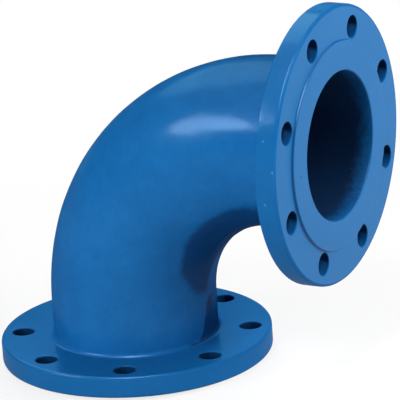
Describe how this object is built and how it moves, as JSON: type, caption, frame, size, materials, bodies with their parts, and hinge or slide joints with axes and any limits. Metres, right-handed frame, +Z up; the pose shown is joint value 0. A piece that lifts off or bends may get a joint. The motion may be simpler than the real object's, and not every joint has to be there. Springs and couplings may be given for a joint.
{
  "type": "flanged elbow",
  "caption": "Double-flanged right-angle cast pipe bend with raised faces and bolt holes, coated in blue.",
  "frame": {"origin": "middle of the bounding box's underside, on the plane of the lower flange's raised face; the lower flange's axis stands 53.75 mm towards -X", "axes": "+Z up along the lower leg, +X out of the upper flange's face, y = 0 is the plane of symmetry"},
  "size_m": [0.3926, 0.285, 0.3925],
  "materials": {
    "blue_coat": "gloss"
  },
  "bodies": {
    "root": {"elbow_casting": "blue_coat"}
  },
  "joints": []
}
